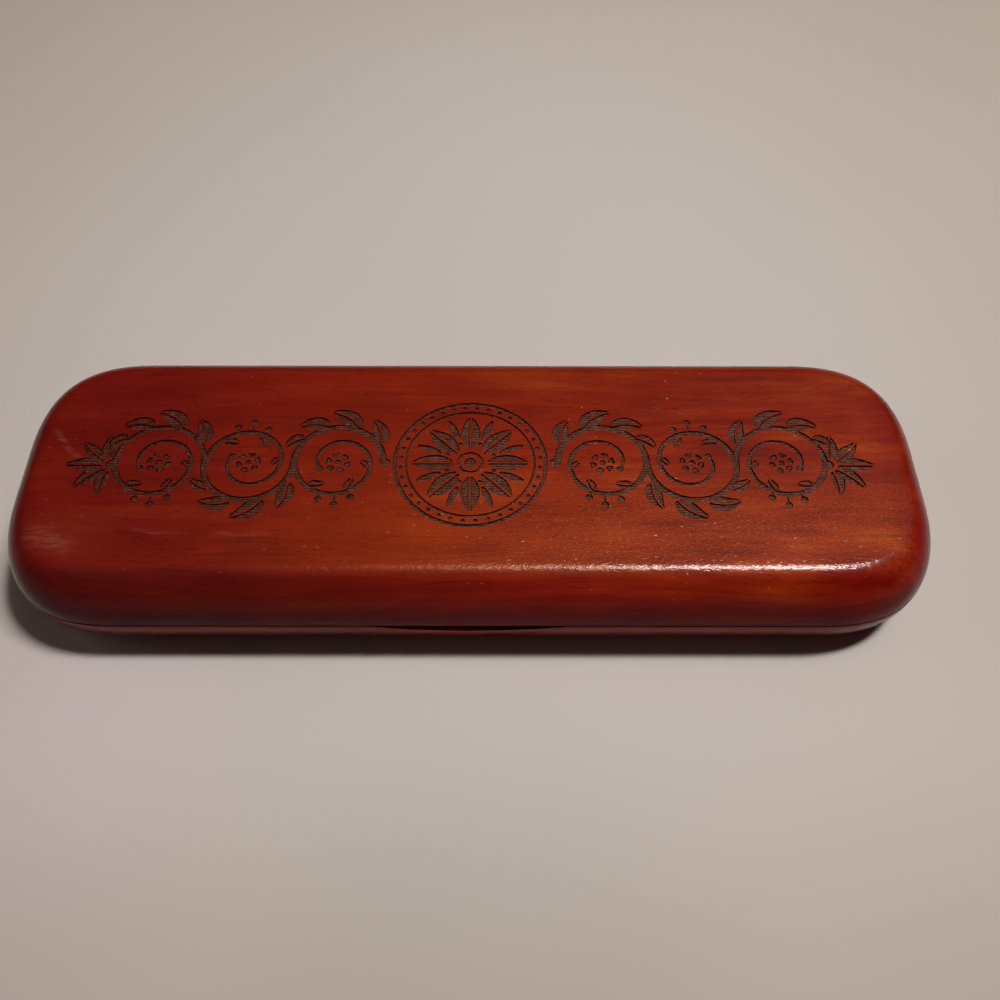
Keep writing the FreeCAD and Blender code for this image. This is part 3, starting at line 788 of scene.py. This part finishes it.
def lid_tone(g, p, col):
    """Tones over the lid in the object frame. One end is redder and darker, the other lighter and browner: partly the
    board's own colour, partly painted shading of the lamps falling off to the left. A dark layer shows along the front,
    partly in the board and partly painted shade. Painted sheen, glints, highlight, glow and shade lie near the edges,
    with further tones and pale rubs.
    """
    s = g.add("SeparateXYZ", None, Vector=p)
    x, y = s.outputs["X"], s.outputs["Y"]
    # darker and redder to the left, lighter and browner to the right: partly the board's own colour, partly painted
    # shading of the lamps falling off towards the left
    k = g.span(x, -72.0, 15.0, 0.0, 1.0)
    dark = g.mix(1.0, col, (0.66, 0.54, 1.32), "MULTIPLY")
    warm = g.mix(1.0, col, (1.10, 1.44, 1.15), "MULTIPLY")
    col = g.mix(k, dark, warm)
    # painted sheen: the flat face lighter and more orange towards its front and right, where the highlight's glow
    # spreads
    painted_front_sheen = g.span(y, 4.0, -16.0, 0.0, 1.0)
    painted_front_sheen = g.math("MULTIPLY", painted_front_sheen, g.span(x, -72.0, -4.0, 0.0, 1.0))
    painted_front_sheen = g.math("MULTIPLY", painted_front_sheen, g.span(y, -24.6, -21.6, 0.0, 1.0))
    col = g.mix(painted_front_sheen, col, g.mix(1.0, col, (1.26, 1.96, 0.95), "MULTIPLY"))
    # painted glints and dark dashes standing in for the lacquer's specular speckle near the front edge
    painted_speckle = g.noise(g.vec(p, (1.7, 4.0, 4.0), (2, 5, 1)), 1.0, 2.0, 0.6)
    busy = g.math("MULTIPLY", painted_front_sheen, g.span(x, -20.0, 30.0, 0.15, 1.0))
    col = g.mix(g.math("MULTIPLY", busy, g.span(painted_speckle, 0.57, 0.70, 0.0, 0.30)), col, (0.58, 0.30, 0.20))
    col = g.mix(g.math("MULTIPLY", busy, g.span(painted_speckle, 0.43, 0.32, 0.0, 0.45)), col, (0.09, 0.012, 0.004))
    # painted highlight: a warm lighter band along the front edge of the flat face
    painted_edge_highlight = g.math("MULTIPLY", g.span(y, -24.0, -22.5, 0.0, 1.0), g.span(y, -20.7, -22.0, 0.0, 1.0))
    painted_edge_highlight = g.math("MULTIPLY", painted_edge_highlight, g.span(x, -20.0, 6.0, 0.0, 1.0))
    col = g.mix(painted_edge_highlight, col, g.mix(1.0, col, (1.15, 1.45, 1.7), "MULTIPLY"))
    # painted shade and reflection: darker and less red along the back edge
    painted_back_edge_shade = g.span(y, 22.4, 24.6, 0.0, 1.0)
    col = g.mix(painted_back_edge_shade, col, g.mix(1.0, col, (0.70, 0.84, 0.90), "MULTIPLY"))
    back = g.math("MULTIPLY", g.span(y, 6.0, 20.0, 0.0, 1.0), g.span(x, -30.0, 5.0, 0.0, 1.0))
    col = g.mix(back, col, g.mix(1.0, col, (0.86, 0.86, 1.00), "MULTIPLY"))
    # a darker layer along the front: partly the board's own layer, partly painted shade where the front rounds away
    # from the lamps
    wav = g.noise(g.vec(p, (0.035, 0.5, 0.5)), 1.0, 3.0, 0.6)
    edge = g.math("MULTIPLY_ADD", x, 0.040, g.math("ADD", y, 24.9))
    edge = g.math("MULTIPLY_ADD", g.math("SUBTRACT", wav, 0.5), 3.0, edge)
    front_layer_and_shade = g.span(edge, -0.7, 0.7, 1.0, 0.0)
    col = g.mix(front_layer_and_shade, col, g.mix(1.0, col, g.mix(k, (0.76, 1.12, 1.70), (0.83, 0.52, 1.60)), "MULTIPLY"))
    # painted glow: the front rounding just below the highlight made lighter and paler
    glow = g.math("MULTIPLY", g.span(x, -2.0, 18.0, 0.0, 1.0), g.span(x, 62.0, 38.0, 0.0, 1.0))
    glow = g.math("MULTIPLY", glow, g.math("MULTIPLY", g.span(y, -27.0, -25.6, 0.0, 1.0), g.span(y, -22.8, -24.0, 0.0, 1.0)))
    col = g.mix(glow, col, g.mix(1.0, col, (1.22, 1.30, 1.60), "MULTIPLY"))
    pale = g.add("VectorMath", {"operation": "LENGTH"}, i0=g.vec(p, (1 / 13, 1 / 6.5, 0), (73 / 13, 17 / 6.5, 0))).outputs["Value"]
    col = g.mix(g.span(pale, 0.2, 1.2, 1.0, 0.0), col, g.mix(1.0, col, (1.07, 1.65, 1.80), "MULTIPLY"))
    corner = g.math("MULTIPLY", g.span(x, 50.0, 68.0, 0.0, 1.0), g.span(y, -17.0, -23.0, 0.0, 1.0))
    rim = g.math("MULTIPLY", g.span(x, 74.0, 80.0, 0.0, 1.0), g.span(y, -6.0, -15.0, 0.45, 1.0))
    right = g.math("MAXIMUM", corner, rim)
    col = g.mix(right, col, g.mix(1.0, col, (0.70, 0.30, 0.60), "MULTIPLY"))
    # painted shade: the lower part of the lid's sides darker, where they face away from the lamps
    foot = g.span(g.math("MULTIPLY_ADD", g.math("SUBTRACT", wav, 0.5), 1.6, s.outputs["Z"]), 17.0, 13.0, 0.0, 1.0)
    col = g.mix(foot, col, g.mix(1.0, col, (0.70, 0.50, 0.60), "MULTIPLY"))
    rub = None
    for a, b, wide, amount in (((-79.0, 8.0), (-71.0, -0.5), 1.1, 0.20), ((-80.0, -15.0), (-69.0, -19.5), 3.2, 0.20),
                               ((-62, -14.5), (-50, -16.0), 0.9, 0.10), ((-46, -15.5), (-34, -16), 0.9, 0.14), ((34, 13), (42, 11.5), 0.8, 0.12)):
        m = scratch(g, p, a, b, wide, amount)
        rub = m if rub is None else g.math("MAXIMUM", rub, m)
    return g.mix(rub, col, (0.44, 0.20, 0.15))


M_LID = lacquered("lid_rosewood", (31.0, 4.0, 12.0), 0.0, lid_tone, (0.50, 0.95))
# the base is darker than the lid: partly a darker board, partly painted shade for its lower side
M_BASE = lacquered("base_rosewood", (-140.0, 27.0, -33.0), 0.07)


def burnt():
    """Scorched wood: dark walls, and a browner floor with the marks of a back and forth pass."""
    g = Net("burnt_engraving")
    p = g.coords()
    s = g.add("SeparateXYZ", None, Vector=p)
    blot = g.noise(p, 0.9, 3.0, 0.6)
    grit = g.noise(g.vec(p, (1.6, 4.0, 2.0)), 1.0, 3.0, 0.65)
    rows = g.add("TexWave", {"wave_type": "BANDS", "bands_direction": "Y", "wave_profile": "SIN"},
                 Vector=g.vec(p, (0.25, 1, 0)), Scale=0.55, Distortion=3.0, Detail=2.0).outputs["Fac"]
    t = g.math("MULTIPLY_ADD", grit, 0.45, g.math("MULTIPLY", blot, 0.35))
    t = g.math("MULTIPLY_ADD", rows, 0.20, t)
    floor_c = g.ramp(t, [(0.30, (0.018, 0.0036, 0.0019)), (0.48, (0.070, 0.0150, 0.0066)), (0.64, (0.175, 0.0470, 0.0230))])
    floor_c = g.mix(g.span(s.outputs["X"], -70.0, 10.0, 1.0, 0.0), floor_c, g.mix(1.0, floor_c, (0.74, 0.66, 0.74), "MULTIPLY"))
    deep = g.span(s.outputs["Z"], TOP_Z - 0.10, TOP_Z - 0.27, 0.0, 1.0)
    col = g.mix(deep, (0.010, 0.0032, 0.0022), floor_c)
    # painted glints: sparse bright spots on the engraved floor
    glint_cells = g.voronoi(g.vec(p, (1.5, 2.2, 2.2)), 1.0)
    few = g.add("SeparateXYZ", None, Vector=glint_cells.outputs["Color"]).outputs["X"]
    glint = g.math("MULTIPLY", g.span(glint_cells.outputs["Distance"], 0.10, 0.30, 1.0, 0.0), g.span(few, 0.72, 0.86))
    col = g.mix(g.math("MULTIPLY", glint, g.math("MULTIPLY", deep, 0.42)), col, (0.36, 0.20, 0.15))
    h = g.math("MULTIPLY_ADD", rows, 0.35, g.math("MULTIPLY", grit, 0.9))
    nor = g.bump(h, 0.00015, 1.0)
    rough = g.span(g.noise(p, 1.4, 2.0, 0.5), 0.35, 0.65, 0.26, 0.58)
    return g.surface(Base_Color=col, Roughness=rough, Specular_IOR_Level=0.06, Normal=nor)


M_BURNT = burnt()


def use(o, *mats, index=None):
    """Give the object its materials; index says which faces have the second one."""
    o.data.materials.clear()
    for m in mats:
        o.data.materials.append(m)
    if index is not None:
        o.data.polygons.foreach_set("material_index", np.asarray(index, np.int32))
        o.data.update()


def face_kinds(o):
    k = np.zeros(len(o.data.polygons), np.int32)
    o.data.polygons.foreach_get("material_index", k)
    return k


use(lid, M_LID, M_BURNT, index=(face_kinds(lid) == ENGRAVED) * 1)
use(base, M_BASE)
for m in TEMP:
    bpy.data.materials.remove(m)
lid.name = lid.data.name = "lid_shell_finished"
base.name = base.data.name = "base_shell_finished"
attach(lid, "lid")
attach(base, "base")
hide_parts("lid_shell")
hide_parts("base_shell")


# ------------------------------------------------------------------ lining
def flock(name, tint=(0.0120, 0.0115, 0.0125)):
    g = Net(name)
    p = g.coords()
    nap = g.noise(p, 0.16, 3.0, 0.6)
    hair = g.noise(p, 3.2, 4.0, 0.72)
    lint = g.span(g.noise(p, 2.2, 1.0, 0.5), 0.74, 0.80)
    t = g.math("MULTIPLY_ADD", hair, 1.1, g.math("MULTIPLY_ADD", nap, 0.5, -0.25))
    lo = tuple(c * 0.45 for c in tint)
    hi = tuple(c * 2.3 for c in tint)
    col = g.ramp(t, [(0.30, lo), (0.55, tint), (0.80, hi)])
    col = g.mix(g.math("MULTIPLY", lint, 0.12), col, (0.16, 0.15, 0.15))
    h = g.math("MULTIPLY_ADD", hair, 1.0, g.math("MULTIPLY", nap, 0.5))
    nor = g.bump(h, 0.00017, 1.0)
    return g.surface(Base_Color=col, Roughness=0.95, Specular_IOR_Level=0.12, Normal=nor,
                     Sheen_Weight=0.55, Sheen_Roughness=0.38, Sheen_Tint=(0.62, 0.60, 0.64))


def apply_all(o):
    dg = bpy.context.evaluated_depsgraph_get()
    me = bpy.data.meshes.new_from_object(o.evaluated_get(dg))
    old = o.data
    o.modifiers.clear()
    o.data = me
    bpy.data.meshes.remove(old)


def flocked_tray():
    """The moulded tray with a nap on it: every corner softened, and the face slightly uneven."""
    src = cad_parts["pen_tray"].data.copy()
    o = bpy.data.objects.new("pen_tray_flocked", src)
    SCENE.collection.objects.link(o)
    m = o.modifiers.new("remesh", "REMESH")
    m.mode, m.voxel_size, m.use_smooth_shade = "VOXEL", 0.00042, True
    s = o.modifiers.new("soft", "SMOOTH")
    s.factor, s.iterations = 0.5, 5
    apply_all(o)
    me = o.data
    co = np.zeros(len(me.vertices) * 3, np.float32)
    me.vertices.foreach_get("co", co)
    co = co.reshape(-1, 3)
    x, y = co[:, 0] / MM, co[:, 1] / MM
    up = np.clip((co[:, 2] / MM - 4.0) / 3.0, 0, 1)
    wav = 0.035 * np.sin(x * 0.31 + 1.7 * np.sin(y * 0.23)) + 0.03 * np.sin(y * 0.47 + 1.1 * np.sin(x * 0.19 + 2.0))
    co[:, 2] += (wav * up * MM).astype(np.float32)
    me.vertices.foreach_set("co", co.ravel())
    me.polygons.foreach_set("use_smooth", np.ones(len(me.polygons), bool))
    me.update()
    return o


tray = flocked_tray()
M_TRAY = flock("black_flock")
use(tray, M_TRAY)
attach(tray, "base")
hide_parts("pen_tray")


def velvet_pad():
    """The lid's lining: thin foam under velvet, turned over its edges and gently crowned."""
    z_board, z_face = 16.95, 15.25
    inset0 = WALL + 0.45
    step = 0.9
    plan, plan_n = loop_points(40, 150, 9)

    def ringat(extra):
        return plan - (inset0 + extra) * plan_n
    rows = [(0.0, z_board), (-0.0, z_board - 0.5)]
    r = 0.75
    for a in (20, 40, 60, 80):
        k = math.radians(a)
        rows.append((r - r * math.cos(k), z_board - 0.5 - r * math.sin(k)))
    n = len(plan)
    verts = [np.c_[ringat(i), np.full(n, z)] for i, z in rows]
    faces = []
    for i in range(len(rows) - 1):
        for j in range(n):
            k = (j + 1) % n
            faces.append((i * n + j, i * n + k, (i + 1) * n + k, (i + 1) * n + j))
    last = ringat(rows[-1][0])
    gx = np.arange(-78, 78.01, step)
    gy = np.arange(-21, 21.01, step)
    g = np.array([(x, y) for x in gx for y in gy])
    ins, _ = inset_of(g)
    edge = inset0 + rows[-1][0]
    g = g[ins > edge + 0.45]
    v, e, f, _, _, _ = delaunay_2d_cdt([Vector(c) for c in list(last) + list(g)], [], [list(range(n))], 1, 1e-5, False)
    v = np.array([tuple(p) for p in v])
    ins, _ = inset_of(v)
    d = np.maximum(ins - edge, 0)
    z_ring = rows[-1][1]
    x, y = v[:, 0], v[:, 1]
    wav = 0.07 * np.sin(x * 0.11 + 1.3 * np.sin(y * 0.16 + 0.4)) + 0.05 * np.sin(y * 0.29 + x * 0.035 + 1.0)
    z = z_ring - (z_ring - z_face - 0.13) * (1 - np.exp(-d / 1.9)) + wav * (1 - np.exp(-d / 3.0))
    base_i = len(rows) * n
    verts.append(np.c_[v, z])
    faces += [tuple(base_i + k for k in t) for t in f]
    top = [j for j in range(n)]
    faces.append(tuple(top))
    o = make_mesh("lid_lining_velvet", np.concatenate(verts), faces)
    bm = bmesh.new()
    bm.from_mesh(o.data)
    bmesh.ops.remove_doubles(bm, verts=bm.verts, dist=0.003 * MM)
    bmesh.ops.recalc_face_normals(bm, faces=bm.faces)
    bm.to_mesh(o.data)
    bm.free()
    return o


pad = velvet_pad()
M_PAD = flock("black_velvet", (0.0135, 0.0125, 0.0135))
use(pad, M_PAD)
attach(pad, "lid")
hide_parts("lid_lining_pad")


# ------------------------------------------------------------------ metal and card
def metal(name, tint, dull, rough=(0.33, 0.42), along=(0.05, 3.0, 3.0), bump=0.000002):
    g = Net(name)
    p = g.coords()
    blot = g.noise(p, 0.55, 4.0, 0.6)
    lines = g.noise(g.vec(p, along), 1.0, 3.0, 0.6)
    spot = g.span(g.noise(p, 1.7, 2.0, 0.6), 0.60, 0.74)
    col = g.mix(g.span(blot, 0.38, 0.68), tint, dull)
    col = g.mix(g.math("MULTIPLY", spot, 0.10), col, tuple(c * 0.45 for c in dull))
    r = g.span(g.math("MULTIPLY_ADD", lines, 0.3, g.math("MULTIPLY", blot, 0.7)), 0.35, 0.65, rough[0], rough[1])
    nor = g.bump(lines, bump, 1.0)
    return g.surface(Base_Color=col, Metallic=1.0, Roughness=r, Normal=nor)


M_LEAF = metal("leaf_brass", (0.86, 0.62, 0.27), (0.72, 0.50, 0.20))
M_PIN = metal("pin_brass", (0.66, 0.45, 0.19), (0.40, 0.26, 0.11), (0.25, 0.42), (4.0, 0.4, 0.4))
M_SCREW = metal("screw_brass", (0.95, 0.79, 0.46), (0.82, 0.64, 0.34), (0.22, 0.30), (1.0, 1.0, 1.0))
M_NICKEL = metal("nickel", (0.72, 0.70, 0.67), (0.56, 0.54, 0.51), (0.26, 0.40), (1.2, 1.2, 1.2))


def card():
    g = Net("dark_card")
    p = g.coords()
    fib = g.noise(g.vec(p, (1.2, 1.2, 5.0)), 1.0, 4.0, 0.65)
    col = g.ramp(fib, [(0.3, (0.018, 0.017, 0.017)), (0.7, (0.045, 0.043, 0.042))])
    return g.surface(Base_Color=col, Roughness=0.85, Specular_IOR_Level=0.25, Normal=g.bump(fib, 0.00003, 1.0))


M_CARD = card()
for n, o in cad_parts.items():
    if n in ("lid_shell", "base_shell", "pen_tray", "lid_lining_pad"):
        continue
    m = M_CARD if n == "lid_lining_board" else M_NICKEL if "magnet" in n else M_PIN if n.endswith("_pin") else M_SCREW if "screw" in n else M_LEAF
    use(o, m)
    o.data.polygons.foreach_set("use_smooth", np.ones(len(o.data.polygons), bool))
    o.data.set_sharp_from_angle(angle=math.radians(28))
    if n != "lid_lining_board":
        b = o.modifiers.new("edge", "BEVEL")
        b.width, b.segments, b.limit_method, b.angle_limit = 0.00005, 2, "ANGLE", math.radians(40)
        b.harden_normals = False

# ------------------------------------------------------------------ floor, light, camera
def table_top():
    g = Net("pale_table")
    p = g.coords()
    c = g.noise(p, 0.006, 2.0, 0.5)
    f = g.noise(p, 1.1, 2.0, 0.6)
    col = g.ramp(g.math("MULTIPLY_ADD", f, 0.10, g.math("MULTIPLY", c, 0.9)), [(0.3, (0.612, 0.578, 0.560)), (0.7, (0.652, 0.614, 0.596))])
    # painted falloff of the lamps' light: the table darker away from the middle, and darker towards the front
    painted_light_falloff = g.add("VectorMath", {"operation": "LENGTH"}, i0=g.vec(p, (1 / 150, 1 / 200, 0), (0, -0.15, 0))).outputs["Value"]
    col = g.mix(g.span(painted_light_falloff, 0.25, 1.3, 0.0, 1.0), col, g.mix(1.0, col, (0.82, 0.76, 0.71), "MULTIPLY"))
    near = g.add("SeparateXYZ", None, Vector=p).outputs["Y"]
    col = g.mix(g.span(near, -40.0, -95.0, 0.0, 1.0), col, g.mix(1.0, col, (0.89, 0.86, 0.84), "MULTIPLY"))
    # painted pools of light and shade: a lighter patch at the left front and a darker one at the front middle
    for at, reach, tone in (((-72, -48), 38, (1.07, 1.04, 1.10)), ((5, -85), 55, (0.93, 0.94, 0.94))):
        d = g.add("VectorMath", {"operation": "LENGTH"}, i0=g.vec(p, (1 / reach, 1 / reach, 0), (-at[0] / reach, -at[1] / reach, 0))).outputs["Value"]
        col = g.mix(g.span(d, 0.2, 1.0, 1.0, 0.0), col, g.mix(1.0, col, tone, "MULTIPLY"))
    return g.surface(Base_Color=col, Roughness=0.75, Specular_IOR_Level=0.25, Normal=g.bump(f, 0.00002, 1.0))


me = bpy.data.meshes.new("table")
me.from_pydata([(-2.5, -2.5, 0), (2.5, -2.5, 0), (2.5, 2.5, 0), (-2.5, 2.5, 0)], [], [(0, 1, 2, 3)])
floor = bpy.data.objects.new("table", me)
SCENE.collection.objects.link(floor)
use(floor, table_top())


def lamp(name, at, look, size, watts, colour, shape="DISK", size_y=None):
    d = bpy.data.lights.new(name, "AREA")
    d.shape, d.size, d.energy, d.color = shape, size, watts, colour
    if size_y is not None:
        d.size_y = size_y
    o = bpy.data.objects.new(name, d)
    SCENE.collection.objects.link(o)
    o.location = at
    o.rotation_mode = "QUATERNION"
    o.rotation_quaternion = (Vector(look) - Vector(at)).to_track_quat("-Z", "Y")
    return o


# two bulbs side by side give the double edge of the shadow; their long fitting gives the highlight
for name, x, y, size, watts in (("key", 0.43, 0.06, 0.16, 8.7), ("key_outer", 0.60, 0.11, 0.16, 5.8)):
    lamp(name, (x, y, 1.30), (0, 0, 0.01), size, watts, (1.0, 0.95, 0.89)).visible_glossy = False
for name, x, wide, long, watts, colour in (("fitting", 0.4445, 0.251, 0.27, 35.0, (1.0, 0.91, 0.86)),
                                           ("fitting_mid", 0.2285, 0.181, 0.27, 15.3, (1.0, 0.78, 0.62)),
                                           ("fitting_end", 0.056, 0.165, 0.30, 5.4, (1.0, 0.46, 0.24)),
                                           ("fitting_glow", -0.107, 0.165, 0.34, 1.2, (1.0, 0.46, 0.24))):
    lamp(name, (x, 0.21, 1.30), (x, 0.21, 0), wide, watts, colour, "RECTANGLE", long).visible_diffuse = False
lamp("soft_right", (1.15, 1.35, 1.30), (0.05, 0, 0), 1.3, 1.2, (1.0, 0.95, 0.90), "RECTANGLE", 1.0)
lamp("soft_left", (-1.35, 0.15, 0.65), (-0.02, 0, 0), 1.1, 2.1, (1.0, 0.87, 0.81)).visible_glossy = False

w = bpy.data.worlds.new("room")
SCENE.world = w
w.use_nodes = True
w.node_tree.nodes["Background"].inputs[0].default_value = (0.020, 0.017, 0.016, 1.0)
w.node_tree.nodes["Background"].inputs[1].default_value = 1.0
SCENE.view_settings.view_transform = "Standard"
SCENE.view_settings.look = "None"

pitch, yaw, roll = math.radians(55.33), math.radians(-0.28), math.radians(0.28)
spot = Vector((0.029 * 0.17145, -0.685 * 0.17145, 0.980 * 0.17145 + SEAM_Z * MM))
turn = Matrix.Rotation(yaw, 3, "Z")
fwd = turn @ Vector((0, math.cos(pitch), -math.sin(pitch)))
up0 = turn @ Vector((0, math.sin(pitch), math.cos(pitch)))
rt0 = turn @ Vector((1, 0, 0))
rt = math.cos(roll) * rt0 + math.sin(roll) * up0
upv = -math.sin(roll) * rt0 + math.cos(roll) * up0
cam = bpy.data.cameras.new("camera")
cam.lens, cam.sensor_width, cam.sensor_fit = 1060 / 1000 * 36, 36, "HORIZONTAL"
cam.clip_start, cam.clip_end = 0.005, 20
cam_o = bpy.data.objects.new("camera", cam)
SCENE.collection.objects.link(cam_o)
mat = Matrix((rt, upv, -fwd)).transposed().to_4x4()
mat.translation = spot
cam_o.matrix_world = mat
SCENE.camera = cam_o

bpy.context.view_layer.update()
